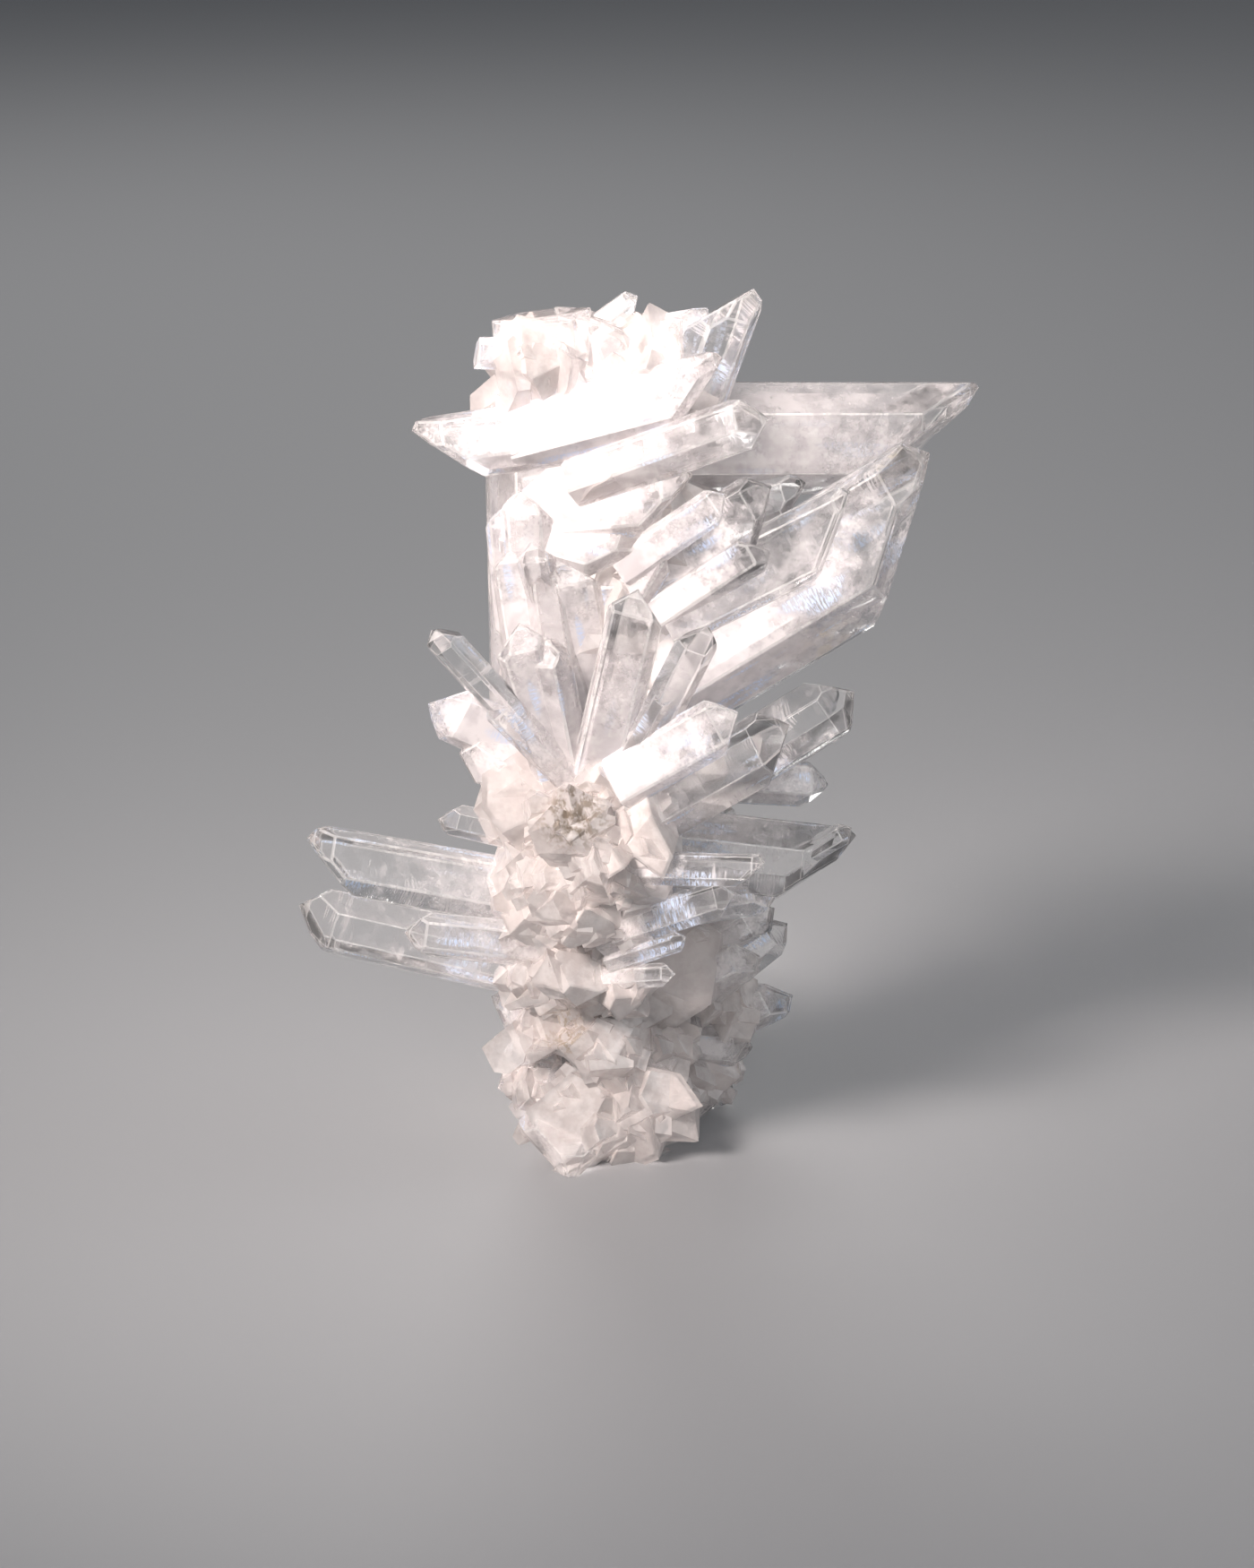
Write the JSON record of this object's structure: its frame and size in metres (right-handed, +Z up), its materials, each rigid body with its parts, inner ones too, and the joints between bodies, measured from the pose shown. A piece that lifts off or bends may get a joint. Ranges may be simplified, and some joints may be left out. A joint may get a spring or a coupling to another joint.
{
  "type": "quartz cluster",
  "caption": "Upright natural quartz cluster: clear six-sided crystals radiating from a rough milky body, with a flat broken foot to stand on.",
  "frame": {"origin": "bottom centre of the bounding box, on the surface the cluster stands on", "axes": "+Z up, -Y towards the front, +X to the right as seen from the front"},
  "size_m": [0.0752, 0.0568, 0.0995],
  "materials": {
    "quartz": "clear and milky quartz, glassy crystal faces with fine striations, frosted broken body"
  },
  "bodies": {
    "root": {"quartz_cluster": "quartz"}
  },
  "joints": []
}
